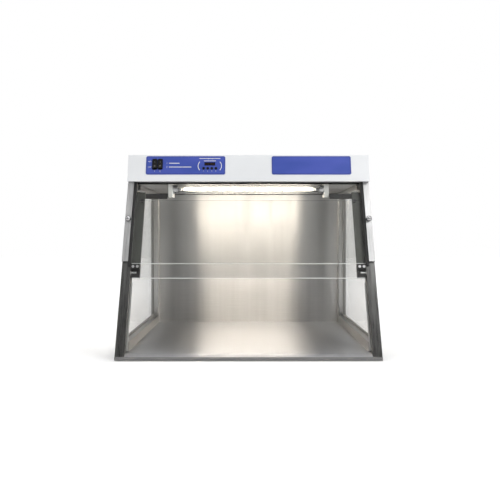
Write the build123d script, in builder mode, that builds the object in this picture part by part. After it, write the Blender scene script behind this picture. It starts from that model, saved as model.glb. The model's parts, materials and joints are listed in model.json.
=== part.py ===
from build123d import *
import os
from math import atan2, cos, radians, sin, tan

# A bench cabinet for clean sample work: a steel frame on a shallow base pan, glass side windows,
# a sloping front with a fixed upper pane and a lower glass door that folds up in front of it,
# and a painted hood that holds the lamps' electronics, a timer and an air recirculator.
# X runs to the right, Y to the back, Z up. The origin is the middle of the footprint, on the bench.

# Overall size, in millimetres
width = 690
depth = 535
height = 555

# Sheet thicknesses and general clearances
sheet = 1.5
cover_sheet = 1.2
glass_thickness = 4
tube_wall = 1.5
soft_gap = 0.3
slip_gap = 0.2
shaft_gap = 0.05

# Base
foot_height = 2
foot_radius = 14
foot_inset = 45
pan_height = 9
pan_flange = 14
surface_rise = 7
nose_run = 22

# Frame
lean = radians(19.22)
post_width = 25
post_depth = 25
rail_width = 29.5
bottom_rail_height = 32
top_rail_height = 22.5
rear_post_depth = 24.5
header_drop = 5.5
rear_casing_depth = 20

# Side windows
window_gasket_width = 8
window_gasket_wall = 2
window_gasket_lip = 6
window_gasket_inset = 6

# Upper front pane, its covers, seals and supports
pane_front = -4
pane_side_gap = 0.5
pane_above_axle = 25.8
cover_width = 17
cover_depth = 8
cover_wall = 1.5
cover_above_axle = 29.7
seal_width = 6
seal_depth = 5
seal_above_axle = 18
support_width = 24
support_thickness = 4
support_flange = 10
support_drop = 25
support_lip = 1.5
bumper_inset = 18
bumper_radius = 5
bumper_stem_radius = 3
bumper_beyond_door = 1

# Clamp knobs on the covers
knob_inset = 9.5
knob_below_top = 114.6
knob_radius = 7.5
knob_height = 15
knob_stud_radius = 3
knob_stud_length = 16

# Folding lower door
axle_depth = 6
door_top_gap = 59.5
door_offset = 8.5
door_beyond_axle = 17
door_side_gap = 2
glass_corner = 4
door_sill_gap = 1.2
pin_radius = 3.25
pin_inset = 3
bush_radius = 4.2
bush_length = 11
bush_flange_radius = 6.5
bush_flange = 1
block_width = 23
block_above = 22.5
block_below = 14.5
block_back = 5.5
block_side_gap = 1.5
block_round = 2
pin_window = 15
jaw_thickness = 3.5
jaw_bottom = 7
jaw_screw_radius = 2
jaw_screw_head_radius = 3.6
jaw_screw_head = 1.2
door_seal_width = 3.5
door_seal_depth = 2.5
door_seal_end_gap = 3

# Hood
hood_height = 77.5
hood_overhang = 21.6
hood_setback = 16.7
hood_lip = 36
screw_radius = 2
screw_head_radius = 4
screw_head_height = 2
screw_length = 9
screw_tab = 3
screw_tab_height = 16
screw_tab_length = 24
screw_rise = 9
hood_screw_spacing = 199

# Blue panels on the hood front
panel_width = 226.5
panel_height = 55
panel_side_gap = 52
panel_rise = 47.5
panel_thickness = 1.2
panel_corner = 5

# Twin rocker switches
switch_inset = 84.7
switch_rise = 50.3
switch_pitch = 15.6
switch_rim_gap = 0.8
switch_rim_height = 32.5
switch_rim = 1.4
switch_rim_corner = 4
switch_body_inset = 0.6
switch_body_height = 30.6
switch_body_depth = 20
switch_body_corner = 2
switch_wall = 0.7
pocket_height = 28.4
pocket_depth = 13
pocket_corner = 0.5
rocker_half_length = 13
rocker_end_rise = 3
rocker_middle_rise = 0.8
rocker_end_drop = 1
rocker_foot = 5
rocker_bottom = 8
rocker_pivot_depth = 4
rocker_pin_radius = 1.5
rocker_tilt = 8

# Timer
timer_inset = 234.4
display_width = 31
display_height = 10
display_rise = 51.6
display_flange = 2
display_rim = 1.5
button_radius = 3.8
button_pitch = 11.7
button_count = 4
button_rise = 38.4
button_proud = 1.4
button_travel = 0.8
button_flange = 1.4
button_flange_thickness = 1
button_stem_radius = 2
button_stem = 3
board_width = 78
board_height = 36
board_depth = 8
board_thickness = 1.6
board_rise = 47
spacer_radius = 2.5
tact_size = 6

# Lamps
lamp_arm_height = 15
lamp_arm_thickness = 3
lamp_arm_drop = 29
lamp_axis_drop = 15
lamp_set_back = 15.5
lamp_radius = 13
lamp_glass_wall = 1
lamp_cap_length = 14
lamp_cap_grip = 3
lamp_cap_wall = 0.4
lamp_stem_radius = 4
lamp_stem_length = 12
lamp_pin_radius = 1.2
lamp_pin_length = 7
lamp_pin_pitch = 12.7
holder_x = 219
holder_thickness = 14
holder_front = 14
holder_rear = 19
holder_drop = 38
holder_round = 2
light_half_length = 205
light_behind_lamp = 109
light_width = 50
light_drop = 10
light_draft = 6
light_wall = 1.5
led_strip_width = 14
led_strip_thickness = 1.6
led_count = 24
led_size = 5
led_height = 1.2

# Air recirculator in the hood
case_half_length = 205
case_back_gap = 22.5
case_width = 130
case_height = 60
case_wall = 1.2
fan_inset = 55
fan_frame_size = 70
fan_frame_height = 25
fan_radius = 31
fan_tip_gap = 1.5
fan_hub_radius = 14
fan_blades = 7
fan_blade_thickness = 1.6
fan_blade_height = 15
fan_blade_pitch = 32
fan_shaft_radius = 2
fan_spider = 3
fan_spoke_width = 4
fan_spokes = 3
fan_spoke_root = 1.5
rotor_gap = 0.6
air_tube_radius = 8
air_tube_gap = 20
air_tube_z = 42
air_clip = 4
air_clip_width = 24
air_clip_inset = 20
grille_slot_width = 3
grille_slot_pitch = 7
grille_slots = 9
grille_length = 62

# Ballasts, inlet and wiring in the hood
ballast_length = 180
ballast_width = 40
ballast_height = 28
ballast_round = 3
ballast_side_gap = 37
ballast_front_gap = 24.6
inlet_inset = 95
inlet_rise = 38
inlet_flange_width = 50
inlet_flange_height = 30
inlet_flange = 1.5
inlet_body_width = 46
inlet_body_height = 26
inlet_body_depth = 22
socket_width = 24
socket_height = 17
socket_depth = 15
socket_x = -9
blade_width = 2
blade_height = 4
blade_length = 12
blade_spacing = 7
blade_drop = 2
earth_rise = 2.5
fuse_width = 13
fuse_height = 18
fuse_x = 15
fuse_grip = 2
fuse_grip_rise = 4
fuse_grip_height = 2
loom_radius = 3
loom_turn = 40
loom_gap = 1
loom_before_case = 33
door_switch_size = 16
door_switch_gap = 0.5

# Rear cover
louvre_width = 60
louvre_height = 3
louvre_rows = 6
louvre_pitch = 10
louvre_inset = 145
louvre_z = 90
pillar_radius = 4.5
pillar_side_inset = 30
pillar_edge_inset = 22

# Places worked out from the sizes above
half_width = width / 2
front = -depth / 2
back = depth / 2
base_top = foot_height + pan_height
surface_top = base_top + surface_rise
frame_top = height - hood_height
post_inner = half_width - post_width
rail_inner = half_width - rail_width
chamber_back = back - rear_casing_depth
rear_face = back - inlet_flange
rear_post_front = chamber_back - rear_post_depth
bottom_rail_top = base_top + bottom_rail_height
top_rail_bottom = frame_top - top_rail_height
ceiling = frame_top - header_drop
window_x = half_width - window_gasket_inset - window_gasket_width / 2
pane_back = pane_front - glass_thickness
knob_x = half_width - knob_inset
bumper_x = post_inner - bumper_inset
panel_x = half_width - panel_side_gap - panel_width / 2
switch_x = switch_inset - half_width
rocker_places = [switch_x - switch_pitch / 2, switch_x + switch_pitch / 2]
switch_rim_width = switch_pitch - switch_rim_gap
switch_body_width = switch_rim_width - 2 * switch_body_inset
pocket_width = switch_body_width - 2 * switch_wall
timer_x = timer_inset - half_width
fan_x = case_half_length - fan_inset
case_y = chamber_back - case_back_gap - case_width / 2
air_tube_end = fan_x - fan_frame_size / 2 - air_tube_gap
ballast_x = half_width - ballast_side_gap - ballast_width / 2
inlet_x = half_width - inlet_inset
loom_y = case_y - case_width / 2 - loom_before_case
louvre_x = half_width - louvre_inset
support_top_z = ceiling - support_drop
lamp_axis_z = ceiling - lamp_axis_drop
lamp_arm_top_z = ceiling - lamp_arm_drop
holder_bottom_z = ceiling - holder_drop
support_front = pane_back - slip_gap
support_back = support_front - support_thickness


# The front slope: s is measured up the slope from the front bottom edge, n out of it
slope_side = Plane(origin=(0, front, 0), x_dir=(0, sin(lean), cos(lean)), z_dir=(1, 0, 0))
slope_face = Plane(origin=(0, front, 0), x_dir=(1, 0, 0), z_dir=(0, -cos(lean), sin(lean)))


def slope_s(z, n=0):
    """Distance up the slope of the point at height z and offset n."""
    return (z - n * sin(lean)) / cos(lean)


def slope_y(z, n=0):
    """Y of the point at height z and offset n from the slope."""
    return front + z * tan(lean) - n / cos(lean)


# The axle lies halfway between the folded door's free edge and the closed door's lower edge
axle_n = -axle_depth
door_n = axle_n + door_offset
door_half = glass_thickness / 2
door_closed_back = axle_n - door_offset - door_half
door_closed_bottom = slope_s(surface_top + door_sill_gap, door_closed_back)
door_high = slope_s(frame_top) - door_top_gap
axle_s = (door_high + door_closed_bottom) / 2
door_low = axle_s - door_beyond_axle
cover_s = (axle_s + cover_above_axle, slope_s(frame_top - soft_gap, cover_depth))
knob_s = cover_s[1] - knob_below_top
lamp_axis_y = slope_y(ceiling, pane_back) + lamp_set_back
light_y = lamp_axis_y + light_behind_lamp
ballast_y = slope_y(frame_top, -post_depth) + ballast_front_gap + ballast_length / 2

# The hood front leans back less than the slope: v is measured up it, n out of it
hood_lean = atan2(hood_setback, hood_height)
hood_front = slope_y(frame_top) - hood_overhang
hood_face = Plane(
    origin=(0, hood_front, frame_top), x_dir=(1, 0, 0), z_dir=(0, -cos(hood_lean), sin(hood_lean))
)
hood_side = Plane(
    origin=(0, hood_front, frame_top), x_dir=(0, sin(hood_lean), cos(hood_lean)), z_dir=(1, 0, 0)
)
button_places = [timer_x + (i - (button_count - 1) / 2) * button_pitch for i in range(button_count)]
pillar_places = [
    (x, z)
    for x in (-half_width + pillar_side_inset, 0, half_width - pillar_side_inset)
    for z in (base_top + pillar_edge_inset, frame_top - pillar_edge_inset)
]


def span(side, near, far):
    """Low and high X of a piece on the left (-1) or right (1) side."""
    return sorted((side * near, side * far))


def block(x, y, z, mode=Mode.ADD):
    """A box between the given low and high values on each axis."""
    with Locations(((x[0] + x[1]) / 2, (y[0] + y[1]) / 2, (z[0] + z[1]) / 2)):
        Box(x[1] - x[0], y[1] - y[0], z[1] - z[0], mode=mode)


def prism(plane, x, points, mode=Mode.ADD):
    """A profile drawn on a plane that faces +X, extruded between two X values."""
    with BuildSketch(plane.offset(x[0])) as outline:
        with BuildLine():
            Polyline(*points, close=True)
        make_face()
    extrude(outline.sketch, amount=x[1] - x[0], mode=mode)


def slab(plane, x, s, n, mode=Mode.ADD, corner=0):
    """A plate on a sloping face: x and s along it, n out of it."""
    with BuildSketch(plane.offset(n[0])) as outline:
        with Locations(((x[0] + x[1]) / 2, (s[0] + s[1]) / 2)):
            if corner:
                RectangleRounded(x[1] - x[0], s[1] - s[0], corner)
            else:
                Rectangle(x[1] - x[0], s[1] - s[0])
    extrude(outline.sketch, amount=n[1] - n[0], mode=mode)


def switch_slab(x, across, tall, n, corner, mode=Mode.ADD):
    """A rounded plate on the hood front, centred on a rocker."""
    slab(
        hood_face, (x - across / 2, x + across / 2), (switch_rise - tall / 2, switch_rise + tall / 2),
        n, mode, corner,
    )


def disc(plane, place, radius, n, mode=Mode.ADD):
    """A round bar standing out of a plane between two offsets."""
    with BuildSketch(plane.offset(n[0])) as outline:
        with Locations(place):
            Circle(radius)
    extrude(outline.sketch, amount=n[1] - n[0], mode=mode)


def rod(centre, radius, x, mode=Mode.ADD):
    """A round bar along X, centred on a (Y, Z) point."""
    disc(Plane.YZ, centre, radius, x, mode)


def casing_screw(place, outward, mode=Mode.ADD):
    """A countersunk screw whose head is flush at a place, pointing into the casing."""
    with Locations(Plane(origin=place, z_dir=outward)):
        Cone(
            screw_radius, screw_head_radius, screw_head_height,
            align=(Align.CENTER, Align.CENTER, Align.MAX), mode=mode,
        )
        Cylinder(
            screw_radius, screw_length, align=(Align.CENTER, Align.CENTER, Align.MAX), mode=mode
        )


def finish(piece, name):
    """Names a finished piece and writes its file."""
    piece.part.label = name
    export_step(piece.part, f"parts/{name}.step")


hood_screw_places = [
    ((side * half_width, y, frame_top + screw_rise), (side, 0, 0))
    for side in (-1, 1)
    for y in (rear_post_front - screw_tab_length - hood_screw_spacing, rear_post_front - screw_tab_length)
]
rear_screw_places = [((x, rear_face, z), (0, 1, 0)) for x, z in pillar_places]


# Base pan: a shallow sheet tray with an inward flange that the frame stands on
with BuildPart() as base_pan:
    block((-half_width, half_width), (front, rear_face), (foot_height, base_top))
    block(
        (-half_width + sheet, half_width - sheet), (front + sheet, rear_face - sheet),
        (foot_height + sheet, base_top - sheet), Mode.SUBTRACT,
    )
    block(
        (-half_width + pan_flange, half_width - pan_flange), (front + pan_flange, rear_face - pan_flange),
        (foot_height + sheet, base_top), Mode.SUBTRACT,
    )
finish(base_pan, "base_pan")

# Rubber feet: four thin discs under the pan's corners
with BuildPart() as rubber_feet:
    with GridLocations(width - 2 * foot_inset, depth - 2 * foot_inset, 2, 2):
        Cylinder(foot_radius, foot_height, align=(Align.CENTER, Align.CENTER, Align.MIN))
finish(rubber_feet, "rubber_feet")

# Work surface: a steel sheet whose front edge rolls down to the pan between the posts
nose_top = (front + nose_run, surface_top)
nose_foot = (front + sheet, base_top)
nose_back = slope_y(base_top, -post_depth) - soft_gap
with BuildPart() as work_surface:
    with BuildSketch(Plane.YZ.offset(-rail_inner)):
        with BuildLine():
            Polyline(nose_top, (chamber_back, surface_top), (chamber_back, base_top), nose_foot)
            TangentArc(nose_top, nose_foot, tangent=(-1, 0))
        make_face()
    extrude(amount=2 * rail_inner)
    block(
        (-rail_inner + sheet, rail_inner - sheet), (front + nose_run, chamber_back - sheet),
        (base_top, surface_top - sheet), Mode.SUBTRACT,
    )
    for side in (-1, 1):
        with BuildSketch(Plane.YZ.offset(span(side, rail_inner, post_inner - slip_gap)[0])):
            with BuildLine():
                Polyline(nose_top, (nose_back, surface_top), (nose_back, base_top), nose_foot)
                TangentArc(nose_top, nose_foot, tangent=(-1, 0))
            make_face()
        extrude(amount=post_inner - slip_gap - rail_inner)
finish(work_surface, "work_surface")

# Front posts: square steel tubes that lean back with the slope
for side, name in ((-1, "front_post_left"), (1, "front_post_right")):
    with BuildPart() as front_post:
        for inset, mode in ((0, Mode.ADD), (tube_wall, Mode.SUBTRACT)):
            near_n, far_n = -inset, -post_depth + inset
            prism(
                Plane.YZ, span(side, post_inner + inset, half_width - inset),
                [
                    (slope_y(base_top, near_n), base_top), (slope_y(frame_top, near_n), frame_top),
                    (slope_y(frame_top, far_n), frame_top), (slope_y(base_top, far_n), base_top),
                ],
                mode,
            )
        disc(
            slope_side, (axle_s, axle_n), bush_radius,
            span(side, post_inner, post_inner + tube_wall), Mode.SUBTRACT,
        )
        disc(
            slope_face, (side * knob_x, knob_s), knob_stud_radius + shaft_gap,
            (-tube_wall, 0), Mode.SUBTRACT,
        )
    finish(front_post, name)

# Rear posts: a pair of square steel tubes at the chamber's back corners
with BuildPart() as rear_posts:
    for side in (-1, 1):
        block(span(side, rail_inner, half_width), (rear_post_front, chamber_back), (base_top, frame_top))
        block(
            span(side, rail_inner + tube_wall, half_width - tube_wall),
            (rear_post_front + tube_wall, chamber_back - tube_wall), (base_top, frame_top), Mode.SUBTRACT,
        )
finish(rear_posts, "rear_posts")

# Bottom side rails: tubes from the front post to the rear post, under the side windows
for side, name in ((-1, "bottom_rail_left"), (1, "bottom_rail_right")):
    with BuildPart() as bottom_rail:
        for inset, mode in ((0, Mode.ADD), (tube_wall, Mode.SUBTRACT)):
            low_z, high_z = base_top + inset, bottom_rail_top - inset
            prism(
                Plane.YZ, span(side, rail_inner + inset, half_width - inset),
                [
                    (slope_y(low_z, -post_depth), low_z), (slope_y(high_z, -post_depth), high_z),
                    (rear_post_front, high_z), (rear_post_front, low_z),
                ],
                mode,
            )
    finish(bottom_rail, name)

# Top side rails: tubes over the side windows, with two upright tabs that the hood screws to
for side, name in ((-1, "top_rail_left"), (1, "top_rail_right")):
    with BuildPart() as top_rail:
        for inset, mode in ((0, Mode.ADD), (tube_wall, Mode.SUBTRACT)):
            low_z, high_z = top_rail_bottom + inset, frame_top - inset
            prism(
                Plane.YZ, span(side, rail_inner + inset, half_width - inset),
                [
                    (slope_y(low_z, -post_depth), low_z), (slope_y(high_z, -post_depth), high_z),
                    (rear_post_front, high_z), (rear_post_front, low_z),
                ],
                mode,
            )
        for place, outward in hood_screw_places:
            if outward[0] == side:
                block(
                    span(side, half_width - sheet - screw_tab, half_width - sheet),
                    (place[1] - screw_tab_length / 2, place[1] + screw_tab_length / 2),
                    (frame_top, frame_top + screw_tab_height),
                )
                casing_screw(place, outward, Mode.SUBTRACT)
    finish(top_rail, name)

# Header rail: the bar between the front posts under the hood, behind the upper pane
with BuildPart() as header_rail:
    header_front = pane_back - soft_gap
    prism(
        Plane.YZ, (-post_inner, post_inner),
        [
            (slope_y(ceiling, header_front), ceiling), (slope_y(frame_top, header_front), frame_top),
            (slope_y(frame_top, -post_depth), frame_top), (slope_y(ceiling, -post_depth), ceiling),
        ],
    )
finish(header_rail, "header_rail")

# Rear wall: the chamber's steel back, with threaded pillars behind it for the rear cover
with BuildPart() as rear_wall:
    block((-half_width, half_width), (chamber_back, chamber_back + sheet), (base_top, frame_top))
    with BuildSketch(Plane.XZ.offset(-chamber_back - sheet)):
        with Locations(*pillar_places):
            Circle(pillar_radius)
    extrude(amount=-(rear_face - cover_sheet - chamber_back - sheet))
    for place, outward in rear_screw_places:
        casing_screw(place, outward, Mode.SUBTRACT)
finish(rear_wall, "rear_wall")

# Rear cover: a painted tray over the back, with cooling slots low and high
with BuildPart() as rear_cover:
    cover_front = chamber_back + sheet
    block((-half_width, half_width), (cover_front, rear_face), (base_top, frame_top))
    block(
        (-half_width + cover_sheet, half_width - cover_sheet), (cover_front, rear_face - cover_sheet),
        (base_top + cover_sheet, frame_top - cover_sheet), Mode.SUBTRACT,
    )
    for x in (-louvre_x, louvre_x):
        for z in (base_top + louvre_z, frame_top - louvre_z):
            for row in range(louvre_rows):
                rise = z + (row - (louvre_rows - 1) / 2) * louvre_pitch
                block(
                    (x - louvre_width / 2, x + louvre_width / 2), (rear_face - cover_sheet, rear_face),
                    (rise - louvre_height / 2, rise + louvre_height / 2), Mode.SUBTRACT,
                )
    for place, outward in rear_screw_places:
        casing_screw(place, outward, Mode.SUBTRACT)
finish(rear_cover, "rear_cover")

# Casing screws: countersunk screws that hold the hood and the rear cover
with BuildPart() as casing_screws:
    for place, outward in hood_screw_places + rear_screw_places:
        casing_screw(place, outward)
finish(casing_screws, "casing_screws")


def window_outline(inset):
    """The side window's corners, drawn in by an inset from the frame around it."""
    low_z, high_z = bottom_rail_top + inset, top_rail_bottom - inset
    return [
        (slope_y(low_z, -post_depth - inset), low_z), (slope_y(high_z, -post_depth - inset), high_z),
        (rear_post_front - inset, high_z), (rear_post_front - inset, low_z),
    ]


# Side windows and the black rubber gaskets round them
for side, name in ((-1, "side_glass_left"), (1, "side_glass_right")):
    with BuildPart() as side_glass:
        glass_x = span(side, window_x - glass_thickness / 2, window_x + glass_thickness / 2)
        prism(Plane.YZ, glass_x, window_outline(window_gasket_wall))
    finish(side_glass, name)

with BuildPart() as side_gaskets:
    for side in (-1, 1):
        gasket_x = span(side, window_x - window_gasket_width / 2, window_x + window_gasket_width / 2)
        glass_x = span(side, window_x - glass_thickness / 2, window_x + glass_thickness / 2)
        prism(Plane.YZ, gasket_x, window_outline(0))
        prism(Plane.YZ, gasket_x, window_outline(window_gasket_lip), Mode.SUBTRACT)
        prism(Plane.YZ, glass_x, window_outline(window_gasket_wall), Mode.SUBTRACT)
finish(side_gaskets, "side_gaskets")

# Ceiling plate: the chamber's steel top, with slots where the recirculator draws and blows air
with BuildPart() as ceiling_plate:
    prism(
        Plane.YZ, (-rail_inner, rail_inner),
        [
            (slope_y(ceiling, -post_depth), ceiling),
            (slope_y(ceiling + sheet, -post_depth), ceiling + sheet),
            (chamber_back, ceiling + sheet), (chamber_back, ceiling),
        ],
    )
    for x in (-fan_x, fan_x):
        for slot in range(grille_slots):
            y = case_y + (slot - (grille_slots - 1) / 2) * grille_slot_pitch
            block(
                (x - grille_length / 2, x + grille_length / 2),
                (y - grille_slot_width / 2, y + grille_slot_width / 2), (ceiling, ceiling + sheet),
                Mode.SUBTRACT,
            )
finish(ceiling_plate, "ceiling_plate")

# Hood: a painted shell open below, with a lip under its front, and holes for what it carries
with BuildPart() as hood_shell:
    def hood_outline(inset, low_z):
        """The hood's side profile, drawn in by an inset, from a given height up."""
        run = tan(hood_lean)
        face_y = hood_front + inset / cos(hood_lean)
        return [
            (face_y + (low_z - frame_top) * run, low_z),
            (face_y + (hood_height - inset) * run, height - inset),
            (rear_face - inset, height - inset), (rear_face - inset, low_z),
        ]

    prism(Plane.YZ, (-half_width, half_width), hood_outline(0, frame_top))
    prism(
        Plane.YZ, (-half_width + sheet, half_width - sheet), hood_outline(sheet, frame_top + sheet),
        Mode.SUBTRACT,
    )
    block(
        (-half_width + sheet, half_width - sheet), (hood_front + hood_lip, rear_face - sheet),
        (frame_top, frame_top + sheet), Mode.SUBTRACT,
    )
    for x in rocker_places:
        switch_slab(x, switch_body_width, switch_body_height, (-sheet, 0), switch_body_corner, Mode.SUBTRACT)
    slab(
        hood_face, (timer_x - display_width / 2, timer_x + display_width / 2),
        (display_rise - display_height / 2, display_rise + display_height / 2),
        (-sheet, 0), Mode.SUBTRACT,
    )
    for x in button_places:
        disc(hood_face, (x, button_rise), button_radius + slip_gap, (-sheet, 0), Mode.SUBTRACT)
    block(
        (inlet_x - inlet_body_width / 2, inlet_x + inlet_body_width / 2), (rear_face - sheet, rear_face),
        (frame_top + inlet_rise - inlet_body_height / 2, frame_top + inlet_rise + inlet_body_height / 2),
        Mode.SUBTRACT,
    )
    for place, outward in hood_screw_places:
        casing_screw(place, outward, Mode.SUBTRACT)
finish(hood_shell, "hood_shell")

# Blue panels: the control panel with its cut-outs on the left, a plain plate on the right
panel_v = (panel_rise - panel_height / 2, panel_rise + panel_height / 2)
with BuildPart() as control_panel:
    slab(
        hood_face, (-panel_x - panel_width / 2, -panel_x + panel_width / 2), panel_v,
        (0, panel_thickness), corner=panel_corner,
    )
    for x in rocker_places:
        switch_slab(
            x, switch_body_width, switch_body_height, (0, panel_thickness), switch_body_corner, Mode.SUBTRACT,
        )
    slab(
        hood_face, (timer_x - display_width / 2, timer_x + display_width / 2),
        (display_rise - display_height / 2, display_rise + display_height / 2),
        (0, panel_thickness), Mode.SUBTRACT,
    )
    for x in button_places:
        disc(hood_face, (x, button_rise), button_radius + slip_gap, (0, panel_thickness), Mode.SUBTRACT)
finish(control_panel, "control_panel")

with BuildPart() as label_panel:
    slab(
        hood_face, (panel_x - panel_width / 2, panel_x + panel_width / 2), panel_v,
        (0, panel_thickness), corner=panel_corner,
    )
finish(label_panel, "label_panel")

# Switch frames: one rounded moulding for each rocker, with a pocket crossed by the pin that it turns on
rocker_width = pocket_width - 2 * soft_gap
with BuildPart() as switch_frames:
    for x in rocker_places:
        switch_slab(
            x, switch_rim_width, switch_rim_height, (panel_thickness, panel_thickness + switch_rim),
            switch_rim_corner,
        )
        switch_slab(
            x, switch_body_width, switch_body_height, (-switch_body_depth, panel_thickness),
            switch_body_corner,
        )
        switch_slab(
            x, pocket_width, pocket_height, (-pocket_depth, panel_thickness + switch_rim),
            pocket_corner, Mode.SUBTRACT,
        )
        disc(
            hood_side, (switch_rise, -rocker_pivot_depth), rocker_pin_radius,
            (x - pocket_width / 2, x + pocket_width / 2),
        )
finish(switch_frames, "switch_frames")

# Rockers: two black keys, both on, with the upper end pressed in
for x, name in zip(rocker_places, ("light_switch", "lamp_switch")):
    with BuildPart() as rocker:
        pivot = hood_side.from_local_coords((switch_rise, -rocker_pivot_depth, 0))
        tilt = hood_lean + radians(rocker_tilt)
        tilted = Plane(origin=pivot, x_dir=(0, sin(tilt), cos(tilt)), z_dir=(1, 0, 0))
        top = panel_thickness + rocker_pivot_depth
        rocker_x = (x - rocker_width / 2, x + rocker_width / 2)
        prism(
            tilted, rocker_x,
            [
                (-rocker_half_length, top - rocker_end_drop), (-rocker_half_length, top + rocker_end_rise),
                (0, top + rocker_middle_rise), (rocker_half_length, top + rocker_end_rise),
                (rocker_half_length, top - rocker_end_drop),
                (rocker_foot, rocker_pivot_depth - rocker_bottom),
                (-rocker_foot, rocker_pivot_depth - rocker_bottom),
            ],
        )
        disc(tilted, (0, 0), rocker_pin_radius + shaft_gap, rocker_x, Mode.SUBTRACT)
    finish(rocker, name)

# Timer display: a dark window held in the hood by a rim behind it
with BuildPart() as timer_display:
    slab(
        hood_face, (timer_x - display_width / 2, timer_x + display_width / 2),
        (display_rise - display_height / 2, display_rise + display_height / 2),
        (-sheet, panel_thickness),
    )
    slab(
        hood_face,
        (timer_x - display_width / 2 - display_flange, timer_x + display_width / 2 + display_flange),
        (display_rise - display_height / 2 - display_flange,
         display_rise + display_height / 2 + display_flange),
        (-sheet - display_rim, -sheet),
    )
finish(timer_display, "timer_display")

# Timer buttons: round caps with a rim behind the hood and a stem towards the board
stem_end = -sheet - slip_gap - button_flange_thickness - button_stem
for number, x in enumerate(button_places, 1):
    with BuildPart() as timer_button:
        disc(hood_face, (x, button_rise), button_radius, (-sheet - slip_gap, panel_thickness + button_proud))
        disc(
            hood_face, (x, button_rise), button_radius + button_flange,
            (-sheet - slip_gap - button_flange_thickness, -sheet - slip_gap),
        )
        disc(
            hood_face, (x, button_rise), button_stem_radius,
            (stem_end, -sheet - slip_gap - button_flange_thickness),
        )
    finish(timer_button, f"timer_button_{number}")

# Timer board: a circuit board on spacers, with the display module and a key under each button
with BuildPart() as timer_board:
    board_v = (board_rise - board_height / 2, board_rise + board_height / 2)
    slab(
        hood_face, (timer_x - board_width / 2, timer_x + board_width / 2), board_v,
        (-board_depth - board_thickness, -board_depth),
    )
    for x in (-1, 1):
        for v in (-1, 1):
            corner_place = (
                timer_x + x * (board_width / 2 - 2 * spacer_radius),
                board_rise + v * (board_height / 2 - 2 * spacer_radius),
            )
            disc(hood_face, corner_place, spacer_radius, (-board_depth, -sheet))
    slab(
        hood_face, (timer_x - display_width / 2, timer_x + display_width / 2),
        (display_rise - display_height / 2, display_rise + display_height / 2),
        (-board_depth, -sheet - display_rim),
    )
    for x in button_places:
        slab(
            hood_face, (x - tact_size / 2, x + tact_size / 2),
            (button_rise - tact_size / 2, button_rise + tact_size / 2),
            (-board_depth, stem_end - button_travel - slip_gap),
        )
finish(timer_board, "timer_board")

# Cover strips: folded steel channels on the front posts, beside the upper pane
for side, name in ((-1, "cover_strip_left"), (1, "cover_strip_right")):
    with BuildPart() as cover_strip:
        slab(slope_face, span(side, half_width - cover_width, half_width), cover_s, (0, cover_depth))
        slab(
            slope_face, span(side, half_width - cover_width + cover_wall, half_width - cover_wall),
            (cover_s[0] + cover_wall, cover_s[1] - cover_wall), (0, cover_depth - cover_wall),
            Mode.SUBTRACT,
        )
        disc(
            slope_face, (side * knob_x, knob_s), knob_stud_radius + shaft_gap,
            (cover_depth - cover_wall, cover_depth), Mode.SUBTRACT,
        )
    finish(cover_strip, name)

# Cover seals: black rubber strips between each cover and the edge of the pane
with BuildPart() as cover_seals:
    for side in (-1, 1):
        slab(
            slope_face, span(side, half_width - cover_width - seal_width, half_width - cover_width),
            (axle_s + seal_above_axle, slope_s(frame_top - soft_gap, seal_depth)), (0, seal_depth),
        )
finish(cover_seals, "cover_seals")

# Clamp knobs: chromed domes on threaded studs that hold the covers to the posts
for side, name in ((-1, "clamp_knob_left"), (1, "clamp_knob_right")):
    with BuildPart() as clamp_knob:
        knob_seat = cover_depth + slip_gap
        skirt = knob_height - knob_radius
        disc(slope_face, (side * knob_x, knob_s), knob_radius, (knob_seat, knob_seat + skirt))
        disc(
            slope_face, (side * knob_x, knob_s), knob_stud_radius,
            (knob_seat - knob_stud_length, knob_seat),
        )
        with Locations(slope_face.offset(knob_seat + skirt)):
            with Locations((side * knob_x, knob_s)):
                Sphere(knob_radius, arc_size1=0)
    finish(clamp_knob, name)

# Glass supports: angle strips on the posts' inner faces, with a lip under the upper pane
pane_bottom = axle_s + pane_above_axle
support_s = (pane_bottom - support_lip, slope_s(support_top_z, support_front))
bumper_s = door_high + bumper_beyond_door
with BuildPart() as glass_supports:
    for side in (-1, 1):
        support_x = span(side, post_inner - support_width, post_inner)
        slab(slope_face, support_x, support_s, (support_back, support_front))
        slab(
            slope_face, span(side, post_inner - support_thickness, post_inner), support_s,
            (support_back - support_flange, support_back),
        )
        slab(slope_face, support_x, (support_s[0], pane_bottom), (support_back, pane_front))
        disc(
            slope_face, (side * bumper_x, bumper_s), bumper_stem_radius, (support_back, support_front),
            Mode.SUBTRACT,
        )
finish(glass_supports, "glass_supports")

# Upper pane: the fixed sheet of glass, drilled for the two bumpers that hold it
with BuildPart() as upper_glass:
    slab(
        slope_face, (-post_inner + pane_side_gap, post_inner - pane_side_gap),
        (pane_bottom, slope_s(frame_top - soft_gap, pane_front)), (pane_back, pane_front),
    )
    for side in (-1, 1):
        disc(
            slope_face, (side * bumper_x, bumper_s), bumper_stem_radius, (pane_back, pane_front),
            Mode.SUBTRACT,
        )
finish(upper_glass, "upper_glass")

# Glass bumpers: black buttons through the pane, on which the folded door rests
with BuildPart() as glass_bumpers:
    for side in (-1, 1):
        disc(slope_face, (side * bumper_x, bumper_s), bumper_stem_radius, (support_back, pane_front))
        disc(
            slope_face, (side * bumper_x, bumper_s), bumper_radius,
            (pane_front, door_n - door_half - soft_gap),
        )
finish(glass_bumpers, "glass_bumpers")

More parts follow.
